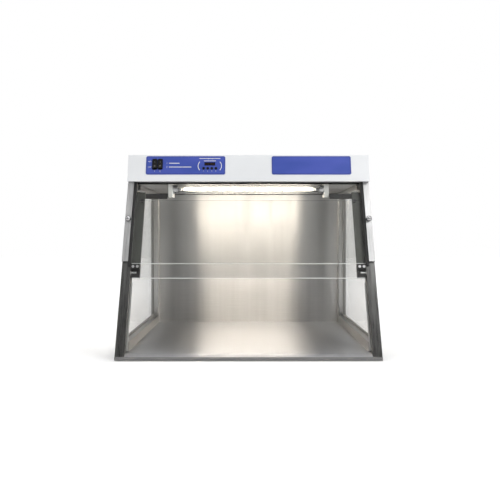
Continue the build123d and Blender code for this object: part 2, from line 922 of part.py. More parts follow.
# Lower door: a sheet of glass, shown folded up in front of the upper pane
block_outer = post_inner - block_side_gap
block_inner = block_outer - block_width
block_middle = (block_outer + block_inner) / 2
jaw_screw_s = axle_s + (jaw_bottom + block_above) / 2
jaw_screw_places = [
    (side * (block_middle + shift), jaw_screw_s)
    for side in (-1, 1) for shift in (-block_width / 4, block_width / 4)
]
door_faces = (door_n - door_half, door_n + door_half)
with BuildPart() as lower_glass:
    slab(
        slope_face, (-post_inner + door_side_gap, post_inner - door_side_gap), (door_low, door_high),
        door_faces, corner=glass_corner,
    )
    for place in jaw_screw_places:
        disc(slope_face, place, jaw_screw_radius, door_faces, Mode.SUBTRACT)
finish(lower_glass, "lower_glass")

# Pivot blocks: black blocks behind the door's lower corners, with a window onto the chromed pin
with BuildPart() as pivot_blocks:
    for side in (-1, 1):
        slab(
            slope_face, span(side, block_inner, block_outer),
            (axle_s - block_below, axle_s + block_above), (axle_n - block_back, door_faces[0]),
        )
    fillet(pivot_blocks.edges().filter_by(Axis.X).group_by(Axis.Y)[-1], block_round)
    for side in (-1, 1):
        slab(
            slope_face, span(side, block_outer - pin_window, block_outer),
            (axle_s - pin_radius, axle_s + pin_radius), (axle_n, door_faces[0]), Mode.SUBTRACT,
        )
        disc(
            slope_side, (axle_s, axle_n), pin_radius,
            span(side, block_inner + pin_inset, block_outer), Mode.SUBTRACT,
        )
    for place in jaw_screw_places:
        disc(
            slope_face, place, jaw_screw_radius, (axle_n - block_back / 2, door_faces[0]), Mode.SUBTRACT
        )
finish(pivot_blocks, "pivot_blocks")

# Clamp plates: the front jaws that grip the door against the pivot blocks
with BuildPart() as clamp_plates:
    for side in (-1, 1):
        slab(
            slope_face, span(side, block_inner, block_outer),
            (axle_s + jaw_bottom, axle_s + block_above), (door_faces[1], door_faces[1] + jaw_thickness),
        )
    for place in jaw_screw_places:
        disc(
            slope_face, place, jaw_screw_radius, (door_faces[1], door_faces[1] + jaw_thickness),
            Mode.SUBTRACT,
        )
finish(clamp_plates, "clamp_plates")

# Clamp screws: low heads on the jaws, shanks through the glass into the blocks
with BuildPart() as clamp_screws:
    for place in jaw_screw_places:
        jaw_face = door_faces[1] + jaw_thickness
        disc(slope_face, place, jaw_screw_radius, (axle_n - block_back / 2, jaw_face))
        disc(slope_face, place, jaw_screw_head_radius, (jaw_face, jaw_face + jaw_screw_head))
finish(clamp_screws, "clamp_screws")

# Pivot pins: chromed axles, fast in the blocks and running in the posts' bushes
with BuildPart() as pivot_pins:
    for side in (-1, 1):
        disc(
            slope_side, (axle_s, axle_n), pin_radius,
            span(side, block_inner + pin_inset, post_inner + bush_length),
        )
finish(pivot_pins, "pivot_pins")

# Pivot bushes: flanged plastic sleeves in the posts' inner walls
with BuildPart() as pivot_bushes:
    for side in (-1, 1):
        disc(slope_side, (axle_s, axle_n), bush_radius, span(side, post_inner, post_inner + bush_length))
        disc(
            slope_side, (axle_s, axle_n), bush_flange_radius,
            span(side, post_inner - bush_flange, post_inner),
        )
        disc(
            slope_side, (axle_s, axle_n), pin_radius + shaft_gap,
            span(side, post_inner - bush_flange, post_inner + bush_length), Mode.SUBTRACT,
        )
finish(pivot_bushes, "pivot_bushes")

# Door seals: black strips down the posts' inner faces that the closed door meets
with BuildPart() as door_seals:
    for side in (-1, 1):
        slab(
            slope_face, span(side, post_inner - door_seal_width, post_inner),
            (door_closed_bottom + door_seal_end_gap, axle_s - block_above - door_seal_end_gap),
            (door_closed_back - soft_gap - door_seal_depth, door_closed_back - soft_gap),
        )
finish(door_seals, "door_seals")

# Door switch: a small position sensor in the right post, facing the end of the pivot pin
with BuildPart() as door_switch:
    slab(
        slope_face,
        (post_inner + bush_length + door_switch_gap, half_width - tube_wall),
        (axle_s - door_switch_size / 2, axle_s + door_switch_size / 2),
        (-tube_wall - door_switch_size, -tube_wall),
    )
finish(door_switch, "door_switch")

# Lamp arms: dark brackets from the glass supports to the lamp holders
holder_outer = holder_x + holder_thickness
holder_y = (lamp_axis_y - holder_front, lamp_axis_y + holder_rear)
arm_top = slope_s(lamp_arm_top_z, support_back)
with BuildPart() as lamp_arms:
    for side in (-1, 1):
        slab(
            slope_face, span(side, holder_outer, post_inner - support_thickness - soft_gap),
            (arm_top - lamp_arm_height, arm_top), (support_back - lamp_arm_thickness, support_back),
        )
        block(
            span(side, holder_outer, holder_outer + lamp_arm_thickness),
            (slope_y(lamp_arm_top_z, support_back), holder_y[1]), (holder_bottom_z, lamp_arm_top_z),
        )
finish(lamp_arms, "lamp_arms")

# Lamp holders: white sockets under the ceiling, drilled for the lamp's pins
pin_heights = (lamp_axis_z - lamp_pin_pitch / 2, lamp_axis_z + lamp_pin_pitch / 2)
with BuildPart() as lamp_holders:
    for side in (-1, 1):
        block(span(side, holder_x, holder_outer), holder_y, (holder_bottom_z, ceiling))
        for z in pin_heights:
            rod(
                (lamp_axis_y, z), lamp_pin_radius, span(side, holder_x, holder_x + lamp_pin_length),
                Mode.SUBTRACT,
            )
    fillet(lamp_holders.edges().filter_by(Axis.Z).group_by(Axis.Y)[0], holder_round)
finish(lamp_holders, "lamp_holders")

# Germicidal lamp: a clear tube with a cap, an electrode stem and two pins at each end
tube_end = holder_x - slip_gap - lamp_cap_length + lamp_cap_grip
tube_radius = lamp_radius - lamp_cap_wall
with BuildPart() as uv_tube:
    rod((lamp_axis_y, lamp_axis_z), tube_radius, (-tube_end, tube_end))
    rod((lamp_axis_y, lamp_axis_z), tube_radius - lamp_glass_wall, (-tube_end, tube_end), Mode.SUBTRACT)
finish(uv_tube, "uv_tube")

with BuildPart() as uv_tube_caps:
    for side in (-1, 1):
        cap_outer = holder_x - slip_gap
        rod((lamp_axis_y, lamp_axis_z), lamp_radius, span(side, cap_outer - lamp_cap_length, cap_outer))
        rod(
            (lamp_axis_y, lamp_axis_z), tube_radius,
            span(side, cap_outer - lamp_cap_length, tube_end), Mode.SUBTRACT,
        )
        rod(
            (lamp_axis_y, lamp_axis_z), lamp_stem_radius,
            span(side, tube_end - lamp_stem_length, tube_end),
        )
        for z in pin_heights:
            rod((lamp_axis_y, z), lamp_pin_radius, span(side, cap_outer, holder_x + lamp_pin_length))
finish(uv_tube_caps, "uv_tube_caps")

# Working light: an opal trough under the ceiling over a strip of small lamps
light_low = ceiling - light_drop
with BuildPart() as light_diffuser:
    for inset, low_z, mode in ((0, light_low, Mode.ADD), (light_wall, light_low + light_wall, Mode.SUBTRACT)):
        half_top = light_width / 2 - inset
        half_low = half_top - light_draft
        prism(
            Plane.YZ, (-light_half_length + inset, light_half_length - inset),
            [
                (light_y - half_low, low_z), (light_y + half_low, low_z),
                (light_y + half_top, ceiling), (light_y - half_top, ceiling),
            ],
            mode,
        )
finish(light_diffuser, "light_diffuser")

with BuildPart() as led_strip:
    strip_half = light_half_length - 2 * light_wall - slip_gap
    strip_low = ceiling - led_strip_thickness
    block(
        (-strip_half, strip_half), (light_y - led_strip_width / 2, light_y + led_strip_width / 2),
        (strip_low, ceiling),
    )
    led_pitch = 2 * strip_half / led_count
    with Locations((0, light_y, strip_low)):
        with GridLocations(led_pitch, led_size, led_count, 1):
            Box(led_size, led_size, led_height, align=(Align.CENTER, Align.CENTER, Align.MAX))
finish(led_strip, "led_strip")

# Recirculator case: a closed box on the ceiling plate, with two hangers for the lamp in it
duct_floor = ceiling + sheet
air_tube_axis = (case_y, duct_floor + air_tube_z)
air_clip_places = (-case_half_length + air_clip_inset, air_tube_end - air_clip_inset)
case_y_span = (case_y - case_width / 2, case_y + case_width / 2)
with BuildPart() as recirculator_case:
    block((-case_half_length, case_half_length), case_y_span, (duct_floor, duct_floor + case_height))
    block(
        (-case_half_length + case_wall, case_half_length - case_wall),
        (case_y_span[0] + case_wall, case_y_span[1] - case_wall),
        (duct_floor, duct_floor + case_height - case_wall), Mode.SUBTRACT,
    )
    for x in air_clip_places:
        block(
            (x - air_clip / 2, x + air_clip / 2), (case_y - air_clip_width / 2, case_y + air_clip_width / 2),
            (air_tube_axis[1] - air_clip_width / 2, duct_floor + case_height - case_wall),
        )
        rod(air_tube_axis, air_tube_radius, (x - air_clip / 2, x + air_clip / 2), Mode.SUBTRACT)
finish(recirculator_case, "recirculator_case")

with BuildPart() as air_tube:
    rod(air_tube_axis, air_tube_radius, (-case_half_length + air_clip_inset / 2, air_tube_end))
finish(air_tube, "air_tube")

# Fan: a square frame over the outlet slots, with a spider that carries the rotor's shaft
spider_low = duct_floor + fan_frame_height - fan_spider
with BuildPart() as fan_frame:
    with Locations((fan_x, case_y, duct_floor)):
        Box(
            fan_frame_size, fan_frame_size, fan_frame_height,
            align=(Align.CENTER, Align.CENTER, Align.MIN),
        )
        Cylinder(
            fan_radius + fan_tip_gap, fan_frame_height,
            align=(Align.CENTER, Align.CENTER, Align.MIN), mode=Mode.SUBTRACT,
        )
    with Locations((fan_x, case_y, spider_low)):
        Cylinder(fan_hub_radius, fan_spider, align=(Align.CENTER, Align.CENTER, Align.MIN))
        Cylinder(fan_shaft_radius, fan_blade_height, align=(Align.CENTER, Align.CENTER, Align.MAX))
        for spoke in range(fan_spokes):
            Box(
                2 * (fan_radius + fan_tip_gap + fan_spoke_root), fan_spoke_width, fan_spider,
                rotation=(0, 0, 180 * spoke / fan_spokes), align=(Align.CENTER, Align.CENTER, Align.MIN),
            )
finish(fan_frame, "fan_frame")

rotor_top = spider_low - rotor_gap
rotor_height = fan_frame_height - fan_spider - 2 * rotor_gap
with BuildPart() as fan_rotor:
    with Locations((fan_x, case_y, rotor_top)):
        Cylinder(fan_hub_radius, rotor_height, align=(Align.CENTER, Align.CENTER, Align.MAX))
    with Locations((fan_x, case_y, rotor_top - rotor_height / 2)):
        with PolarLocations((fan_hub_radius + fan_radius) / 2 - fan_tip_gap, fan_blades):
            Box(
                fan_radius - fan_hub_radius, fan_blade_thickness, fan_blade_height,
                rotation=(fan_blade_pitch, 0, 0),
            )
    with Locations((fan_x, case_y, rotor_top)):
        Cylinder(
            fan_shaft_radius + shaft_gap, fan_blade_height + soft_gap,
            align=(Align.CENTER, Align.CENTER, Align.MAX), mode=Mode.SUBTRACT,
        )
finish(fan_rotor, "fan_rotor")

# Ballasts: two closed electronics boxes on the ceiling plate
with BuildPart() as ballasts:
    with Locations((-ballast_x, ballast_y, duct_floor), (ballast_x, ballast_y, duct_floor)):
        Box(ballast_width, ballast_length, ballast_height, align=(Align.CENTER, Align.CENTER, Align.MIN))
    fillet(ballasts.edges().filter_by(Axis.Y).group_by(Axis.Z)[-1], ballast_round)
finish(ballasts, "ballasts")

# Mains inlet: a socket with three blades and a pocket for the fuse drawer, in the hood's back
inlet_z = frame_top + inlet_rise
socket_back = back - socket_depth
fuse_x_span = (inlet_x + fuse_x - fuse_width / 2, inlet_x + fuse_x + fuse_width / 2)
fuse_z_span = (inlet_z - fuse_height / 2, inlet_z + fuse_height / 2)
with BuildPart() as mains_inlet:
    block(
        (inlet_x - inlet_flange_width / 2, inlet_x + inlet_flange_width / 2), (rear_face, back),
        (inlet_z - inlet_flange_height / 2, inlet_z + inlet_flange_height / 2),
    )
    block(
        (inlet_x - inlet_body_width / 2, inlet_x + inlet_body_width / 2),
        (back - inlet_body_depth, rear_face),
        (inlet_z - inlet_body_height / 2, inlet_z + inlet_body_height / 2),
    )
    block(
        (inlet_x + socket_x - socket_width / 2, inlet_x + socket_x + socket_width / 2),
        (socket_back, back), (inlet_z - socket_height / 2, inlet_z + socket_height / 2), Mode.SUBTRACT,
    )
    for x, z in ((-blade_spacing, earth_rise), (0, earth_rise + blade_drop), (blade_spacing, earth_rise)):
        block(
            (inlet_x + socket_x + x - blade_width / 2, inlet_x + socket_x + x + blade_width / 2),
            (socket_back, socket_back + blade_length),
            (inlet_z + z - blade_height / 2, inlet_z + z + blade_height / 2),
        )
    block(fuse_x_span, (socket_back, back), fuse_z_span, Mode.SUBTRACT)
finish(mains_inlet, "mains_inlet")

with BuildPart() as fuse_drawer:
    block(
        (fuse_x_span[0] + slip_gap, fuse_x_span[1] - slip_gap), (socket_back + slip_gap, back),
        (fuse_z_span[0] + slip_gap, fuse_z_span[1] - slip_gap),
    )
    block(
        (fuse_x_span[0] + fuse_grip, fuse_x_span[1] - fuse_grip), (back - fuse_grip, back),
        (fuse_z_span[0] + fuse_grip_rise, fuse_z_span[0] + fuse_grip_rise + fuse_grip_height),
        Mode.SUBTRACT,
    )
finish(fuse_drawer, "fuse_drawer")

# Wiring loom: the bundle from the inlet to the switches, round the front of the recirculator
with BuildPart() as wiring_loom:
    loom_rise = (inlet_rise + switch_body_depth * sin(hood_lean)) / cos(hood_lean)
    loom_end = hood_side.from_local_coords((loom_rise, -switch_body_depth, 0)).Y + loom_gap
    route = [
        (inlet_x, back - inlet_body_depth, inlet_z), (inlet_x, loom_y, inlet_z),
        (switch_x, loom_y, inlet_z), (switch_x, loom_end, inlet_z),
    ]
    with BuildLine() as loom_line:
        FilletPolyline(*route, radius=loom_turn)
    with BuildSketch(Plane(origin=route[0], z_dir=(0, -1, 0))):
        Circle(loom_radius)
    sweep(path=loom_line.line)
finish(wiring_loom, "wiring_loom")
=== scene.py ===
import json
import math

import bmesh
import bpy
from mathutils import Matrix, Vector
from mathutils.bvhtree import BVHTree


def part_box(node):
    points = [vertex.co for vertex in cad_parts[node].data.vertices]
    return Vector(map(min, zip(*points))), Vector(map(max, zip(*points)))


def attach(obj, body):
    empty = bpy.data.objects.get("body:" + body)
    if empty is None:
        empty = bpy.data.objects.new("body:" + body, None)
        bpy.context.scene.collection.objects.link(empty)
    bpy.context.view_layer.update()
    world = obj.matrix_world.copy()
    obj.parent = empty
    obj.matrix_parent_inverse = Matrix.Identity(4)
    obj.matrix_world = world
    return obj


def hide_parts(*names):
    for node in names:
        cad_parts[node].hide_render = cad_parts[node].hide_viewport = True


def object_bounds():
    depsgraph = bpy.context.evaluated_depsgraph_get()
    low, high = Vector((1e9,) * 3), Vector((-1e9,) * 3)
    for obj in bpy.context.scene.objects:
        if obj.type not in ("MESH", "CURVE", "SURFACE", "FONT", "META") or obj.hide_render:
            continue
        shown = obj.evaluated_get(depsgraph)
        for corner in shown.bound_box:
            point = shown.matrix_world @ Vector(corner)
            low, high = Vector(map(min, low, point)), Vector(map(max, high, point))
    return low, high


# The looks of a bench cabinet with glass sides, a sloping front and a painted hood.
# Everything is in metres, in the frame's own axes: +X right, +Y back, +Z up.

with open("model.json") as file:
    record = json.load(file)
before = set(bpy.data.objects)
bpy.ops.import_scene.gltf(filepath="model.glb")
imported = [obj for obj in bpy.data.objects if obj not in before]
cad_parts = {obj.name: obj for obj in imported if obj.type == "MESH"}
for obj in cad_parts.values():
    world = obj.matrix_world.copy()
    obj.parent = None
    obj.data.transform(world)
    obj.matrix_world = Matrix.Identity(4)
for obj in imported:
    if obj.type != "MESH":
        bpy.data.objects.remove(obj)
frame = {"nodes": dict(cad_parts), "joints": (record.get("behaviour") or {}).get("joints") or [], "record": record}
cad_low, cad_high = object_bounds()
nodes = frame["nodes"]
joints = {joint["name"]: joint for joint in frame["joints"]}
slots = {part["node"]: part["material_slot"] for part in frame["record"]["subparts"]}
bodies = frame["record"]["behaviour"]["bodies"]
body_of = {node: body for body, members in bodies.items() for node in members}

# Directions of the two leaning faces, read from the joints that stand square to them
slope_out = Vector(joints["knob_left_turn"]["axis"])
slope_up = Vector((0, slope_out.z, -slope_out.y))
slope_lean = math.atan2(slope_out.z, -slope_out.y)
hood_out = -Vector(joints["timer_button_1_press"]["axis"])
hood_up = Vector((0, hood_out.z, -hood_out.y))

# Camera at the photograph's station point: level, with one vanishing point
camera_distance = 1.6061
camera_height = 0.322
camera_lens = 37.58
camera_shift = (0.003, -0.028)


def make_camera():
    """Makes the level camera in front of the cabinet."""
    data = bpy.data.cameras.new("camera")
    data.lens = camera_lens
    data.shift_x, data.shift_y = camera_shift
    camera = bpy.data.objects.new("camera", data)
    camera.location = (0, -camera_distance, camera_height)
    camera.rotation_euler = (math.radians(90), 0, 0)
    bpy.context.scene.collection.objects.link(camera)
    bpy.context.scene.camera = camera


# Node trees


class Graph:
    """A node tree, with short calls to add its nodes and to join them."""

    def __init__(self, tree):
        self.tree = tree

    def add(self, kind, values=None, **settings):
        """A new node, with its attributes and its unlinked inputs set."""
        node = self.tree.nodes.new(kind)
        for key, value in settings.items():
            setattr(node, key, value)
        for key, value in (values or {}).items():
            node.inputs[key].default_value = value
        return node

    def put(self, value, target):
        """Links an output to an input, or sets the input to a plain value."""
        if isinstance(value, bpy.types.NodeSocket):
            self.tree.links.new(value, target)
        else:
            target.default_value = value

    def calculate(self, operation, *values):
        """The result of an operation on one or more values."""
        node = self.add("ShaderNodeMath", operation=operation)
        for value, target in zip(values, node.inputs):
            self.put(value, target)
        return node.outputs["Value"]

    def spread(self, value, low, high, start=0.3, end=0.7, **settings):
        """Maps a value to a range. Most of what noise gives lies between the usual start and end."""
        limits = {"From Min": start, "From Max": end, "To Min": low, "To Max": high}
        ramp = self.add("ShaderNodeMapRange", limits, **settings)
        self.put(value, ramp.inputs["Value"])
        return ramp.outputs["Result"]

    def mix(self, share, first, second, kind="FLOAT"):
        """A value or a colour between two others, by a share."""
        node = self.add("ShaderNodeMix", data_type=kind)
        for key, value in (("Factor", share), ("A", first), ("B", second)):
            self.put(value, node.inputs[key])
        return node.outputs["Result"]


class Shader(Graph):
    """A material with one Principled shader, and short calls to build what feeds it."""

    def __init__(self, name):
        self.material = bpy.data.materials.new(name)
        self.material.use_nodes = True
        super().__init__(self.material.node_tree)
        self.main = self.tree.nodes["Principled BSDF"]
        self.surface = self.tree.nodes["Material Output"].inputs["Surface"]
        self.coords = self.add("ShaderNodeTexCoord").outputs["Object"]

    def set(self, **values):
        """Sets uniform values on the shader's own sockets."""
        for key, value in values.items():
            self.main.inputs[key.replace("_", " ")].default_value = value

    def noise(self, size, detail=3, turn=0):
        """Noise with features of one size, or of a size along each axis, turned about X."""
        sizes = size if isinstance(size, tuple) else (size, size, size)
        place = self.add(
            "ShaderNodeMapping", {"Scale": sizes, "Rotation": (turn, 0, 0)}, vector_type="TEXTURE"
        )
        self.put(self.coords, place.inputs["Vector"])
        noise = self.add("ShaderNodeTexNoise", {"Scale": 1, "Detail": detail})
        self.put(place.outputs["Vector"], noise.inputs["Vector"])
        return noise.outputs["Fac"]

    def tones(self, value, dark, light):
        """A colour between two tones, chosen by a value."""
        return self.mix(value, (*dark, 1), (*light, 1), "RGBA")

    def shades(self, value, colour, low, high):
        """A colour between two shares of itself, chosen by a value."""
        return self.tones(value, scaled(colour, low), scaled(colour, high))

    def relief(self, height, strength, distance):
        """Bump from a height value, fed to the shader."""
        node = self.add("ShaderNodeBump", {"Strength": strength, "Distance": distance})
        self.put(height, node.inputs["Height"])
        self.put(node.outputs["Normal"], self.main.inputs["Normal"])

    def feed(self, colour, roughness):
        """Links varied colour and roughness to the shader."""
        self.put(colour, self.main.inputs["Base Color"])
        self.put(roughness, self.main.inputs["Roughness"])


def scaled(colour, share):
    """A colour made lighter or darker by a share."""
    return tuple(min(1, channel * share) for channel in colour)


# Materials


def brushed_steel(
    name, colour, grain, sheen_along, rough, turn=0, anisotropy=0.6, smears=(0.11, 0.08, 0.10), swing=0.15
):
    """Brushed steel: fine scratches along one axis, faint smears, and sheen drawn out along a direction."""
    scratch_width, scratch_length = 0.0005, 0.09
    s = Shader(name)
    size = tuple(scratch_length if axis == grain else scratch_width for axis in "XYZ")
    fine = s.noise(size, detail=2, turn=turn)
    smear = s.noise(smears, detail=4)
    tone = s.calculate("ADD", s.spread(fine, 0, 0.5), s.spread(smear, 0, 0.5))
    s.feed(
        s.shades(tone, colour, 1 - swing, 1 + swing),
        s.calculate("ADD", s.spread(fine, rough - 0.06, rough + 0.05), s.spread(smear, -0.03, 0.05)),
    )
    s.relief(fine, strength=0.12, distance=0.00005)
    s.set(Metallic=1, Anisotropic=anisotropy)
    along = s.add("ShaderNodeCombineXYZ", dict(zip("XYZ", sheen_along)))
    s.put(along.outputs["Vector"], s.main.inputs["Tangent"])
    return s.material


def painted(name, colour, rough, shift=0.03):
    """Sprayed paint: faint orange peel, slow drifts of tone, and small rubbed spots."""
    drift_size, rubbed_size, peel_size = (0.16, 0.16, 0.12), 0.02, 0.0016
    s = Shader(name)
    drift = s.noise(drift_size)
    rubbed = s.noise(rubbed_size, detail=5)
    s.feed(
        s.shades(s.spread(drift, 0, 1), colour, 1 - shift, 1 + shift),
        s.calculate("ADD", s.spread(drift, rough - 0.03, rough + 0.03), s.spread(rubbed, -0.02, 0.05)),
    )
    s.relief(s.noise(peel_size, detail=2), strength=0.06, distance=0.0001)
    return s.material


def moulded(name, colour, rough, grain_size=0.0006, grain_strength=0.12, shift=0.12, gloss=0.5):
    """Moulded plastic or rubber: a fine spark grain with faint handling marks."""
    mark_size = 0.012
    s = Shader(name)
    marks = s.noise(mark_size, detail=5)
    fine = s.noise(grain_size, detail=2)
    s.feed(
        s.shades(s.spread(marks, 0, 1), colour, 1 - shift, 1 + shift),
        s.calculate("ADD", s.spread(marks, rough - 0.04, rough + 0.06), s.spread(fine, -0.03, 0.03)),
    )
    s.relief(fine, grain_strength, distance=0.00006)
    s.set(Specular_IOR_Level=gloss)
    return s.material


def polished(name, colour, rough):
    """Bright plated metal with a trace of wipe marks."""
    wipe_size, dimple_size = (0.004, 0.02, 0.006), 0.003
    s = Shader(name)
    wipes = s.noise(wipe_size, detail=4)
    s.feed(
        s.shades(s.spread(wipes, 0, 1), colour, 0.93, 1.03),
        s.spread(wipes, rough - 0.03, rough + 0.06),
    )
    s.relief(s.noise(dimple_size, detail=2), strength=0.02, distance=0.00005)
    s.set(Metallic=1)
    return s.material


def film(name, dark, light):
    """Printed film under a gloss coat, with a soft drift of tone across the sheet."""
    drift_size, grain_size = (0.14, 0.14, 0.05), 0.0009
    s = Shader(name)
    drift = s.noise(drift_size, detail=2)
    grain = s.noise(grain_size)
    s.feed(s.tones(s.spread(drift, 0, 1), dark, light), s.spread(grain, 0.30, 0.40))
    s.relief(grain, strength=0.05, distance=0.00004)
    s.set(Coat_Weight=0.35, Coat_Roughness=0.12)
    return s.material


def clear_glass(name, tint):
    """Faintly smeared glass, which lets lamps shine through it."""
    smear_size, smear_rough = (0.05, 0.09, 0.07), 0.012
    s = Shader(name)
    smear = s.noise(smear_size, detail=5)
    s.feed(
        s.shades(s.spread(smear, 0, 1), tint, 0.985, 1),
        s.spread(smear, 0, smear_rough, start=0.5, end=0.8),
    )
    s.set(Transmission_Weight=1, IOR=1.5)
    rays = s.add("ShaderNodeLightPath").outputs
    passing = s.add("ShaderNodeBsdfTransparent", {"Color": (*tint, 1)})
    both = s.add("ShaderNodeMixShader")
    s.put(rays["Is Shadow Ray"], both.inputs["Fac"])
    s.put(s.main.outputs["BSDF"], both.inputs[1])
    s.put(passing.outputs["BSDF"], both.inputs[2])
    s.put(both.outputs["Shader"], s.surface)
    return s.material


def glowing(name, colour, strength, end_x):
    """An opal cover lit from behind, which dims over the last stretch before each end."""
    cloud_size, grain_size, rough = 0.03, 0.001, 0.45
    dim_length, end_share, fall = 0.025, 0.2, 3
    s = Shader(name)
    cloud = s.noise(cloud_size)
    s.feed(
        s.shades(s.spread(cloud, 0, 1), colour, 0.96, 1),
        s.spread(cloud, rough - 0.03, rough + 0.05),
    )
    s.relief(s.noise(grain_size, detail=2), strength=0.05, distance=0.00005)
    s.set(Emission_Color=(*colour, 1))
    axes = s.add("ShaderNodeSeparateXYZ")
    s.put(s.coords, axes.inputs["Vector"])
    off_centre = s.calculate("ABSOLUTE", axes.outputs["X"])
    share = s.spread(off_centre, 1, end_share, end_x - dim_length, end_x)
    level = s.calculate("MULTIPLY", s.calculate("POWER", share, fall), strength)
    s.put(level, s.main.inputs["Emission Strength"])
    return s.material


def board(name):
    """Green lacquered board with a copper-track pattern under the lacquer."""
    tracks_per_metre, patch_size = 420, 0.01
    dark, light = (0.02, 0.12, 0.05), (0.05, 0.26, 0.12)
    s = Shader(name)
    voronoi = s.add("ShaderNodeTexVoronoi", {"Scale": tracks_per_metre}, distance="CHEBYCHEV")
    s.put(s.coords, voronoi.inputs["Vector"])
    tracks = voronoi.outputs["Distance"]
    s.feed(s.tones(s.spread(tracks, 0, 1), dark, light), s.spread(s.noise(patch_size), 0.28, 0.42))
    s.relief(tracks, strength=0.1, distance=0.0001)
    return s.material


def grey(level):
    """A neutral colour."""
    return (level, level, level)


across, back, up = (1, 0, 0), (0, 1, 0), (0, 0, 1)
chrome_colour = (0.52, 0.52, 0.53)
work_light_colour = (1.0, 0.905, 0.785)
diffuser_low, diffuser_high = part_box("light_diffuser")

# The finish of each material slot
slot_materials = {
    # The front posts' steel is far darker than the other steel: painted shade for the dark reflections on the
    # posts.
    "frame_steel": brushed_steel(
        "frame_steel", (0.17, 0.17, 0.165), grain="Z", sheen_along=across, rough=0.30,
        turn=-slope_lean, smears=(0.008, 0.03, 0.16), swing=0.3,
    ),
    "chamber_steel": brushed_steel(
        "chamber_steel", (0.33, 0.33, 0.328), grain="Y", sheen_along=up, rough=0.34,
        smears=(0.05, 0.40, 0.012), swing=0.12,
    ),
    "cover_steel": brushed_steel(
        "cover_steel", grey(0.50), grain="Z", sheen_along=across, rough=0.34,
        turn=-slope_lean, anisotropy=0.8, smears=(0.008, 0.03, 0.12), swing=0.3,
    ),
    "pan_steel": painted("pan_steel", grey(0.16), rough=0.42),
    "hood_paint": painted("hood_paint", (0.77, 0.785, 0.80), rough=0.34),
    "black_metal": painted("black_metal", (0.014, 0.014, 0.013), rough=0.42, shift=0.15),
    "support_paint": painted("support_paint", (0.042, 0.044, 0.038), rough=0.5, shift=0.12),
    "glass": clear_glass("glass", (0.985, 0.988, 0.98)),
    "quartz": clear_glass("quartz", (0.97, 0.975, 0.97)),
    "rubber": moulded("rubber", grey(0.018), rough=0.6, grain_size=0.0008, grain_strength=0.2),
    "blue_panel": film("blue_panel", (0.040, 0.076, 0.37), (0.068, 0.100, 0.46)),
    "black_plastic": moulded("black_plastic", (0.006, 0.006, 0.007), rough=0.42, gloss=0.3),
    "display_window": moulded("display_window", (0.008, 0.008, 0.010), rough=0.12, grain_strength=0.02),
    "circuit_board": board("circuit_board"),
    "chrome": polished("chrome", chrome_colour, rough=0.05),
    "nylon": moulded("nylon", (0.66, 0.65, 0.60), rough=0.5, shift=0.05),
    "white_plastic": moulded("white_plastic", (0.80, 0.80, 0.77), rough=0.35, shift=0.04),
    "cap_metal": polished("cap_metal", chrome_colour, rough=0.28),
    "opal": glowing("opal", work_light_colour, strength=45.0, end_x=diffuser_high.x),
    "led_board": moulded("led_board", (0.80, 0.80, 0.72), rough=0.4, shift=0.06),
    "zinc": brushed_steel(
        "zinc", (0.45, 0.46, 0.47), grain="X", sheen_along=up, rough=0.42, anisotropy=0.2
    ),
    "fan_plastic": moulded("fan_plastic", (0.02, 0.02, 0.022), rough=0.45),
    "ballast_paint": painted("ballast_paint", (0.72, 0.72, 0.70), rough=0.45),
    "loom": moulded("loom", grey(0.02), rough=0.65, grain_size=0.0012, grain_strength=0.3),
}
ground_glass = moulded(
    "ground_glass", (0.90, 0.92, 0.90), rough=0.5, grain_size=0.0004, grain_strength=0.2, shift=0.02
)

# The finish of the nodes that differ from their slot
node_materials = {
    # The header rail is painted near black as painted shade: it stands for the shadow gap under the hood's lip.
    "header_rail": painted("header_painted_shade", grey(0.012), rough=0.5, shift=0.15),
    "side_gaskets": moulded(
        "silicone", (0.13, 0.13, 0.127), rough=0.45, grain_size=0.0008, grain_strength=0.1, shift=0.05
    ),
    "door_seals": moulded(
        "pale_silicone", (0.40, 0.40, 0.39), rough=0.4, grain_size=0.0008, grain_strength=0.1, shift=0.04
    ),
    # Pins and clamp screws get steel far lighter than the chrome: painted highlight for the bright glints on them.
    "pivot_pins": polished("pin_steel_painted_glint", grey(0.88), rough=0.45),
    "clamp_screws": polished("screw_steel_painted_glint", grey(0.85), rough=0.34),
    "rear_wall": brushed_steel(
        "wall_steel", (0.61, 0.603, 0.595), grain="X", sheen_along=up, rough=0.37,
        anisotropy=1, smears=(0.035, 0.05, 1.2),
    ),
    "work_surface": brushed_steel(
        "surface_steel", (0.335, 0.337, 0.342), grain="X", sheen_along=back, rough=0.42,
        anisotropy=0.9, smears=(0.02, 0.5, 1.0),
    ),
    # The ceiling's steel is lighter than the chamber's: painted light that makes up for light the ceiling lacks.
    "ceiling_plate": brushed_steel(
        "ceiling_steel_painted_light", (0.47, 0.465, 0.455), grain="X", sheen_along=back, rough=0.50, anisotropy=0
    ),
    "rear_posts": brushed_steel(
        "rear_post_steel", (0.40, 0.395, 0.385), grain="Z", sheen_along=across, rough=0.30,
        smears=(0.012, 0.05, 0.40), swing=0.12,
    ),
}


def material_for(node):
    """The node's own material, or its slot's."""
    return node_materials.get(node, slot_materials[slots[node]])


def dress_nodes():
    """Gives every CAD node its material."""
    for name, node in nodes.items():
        node.data.materials.clear()
        node.data.materials.append(material_for(name))


# Faces and pieces

# Corners nearer to each other than this are one corner
least_gap = 1e-6
# How far a printed mark stands out of its surface
print_depth = 0.00006


def span(values):
    """Lowest and highest of some values."""
    return min(values), max(values)


def frame_on(place, upward, outward):
    """A frame at a place on a surface: X across it, Y up it and Z out of it."""
    sideways = upward.cross(outward).normalized()
    axes = Matrix((sideways, upward, outward)).transposed().to_4x4()
    return Matrix.Translation(place) @ axes


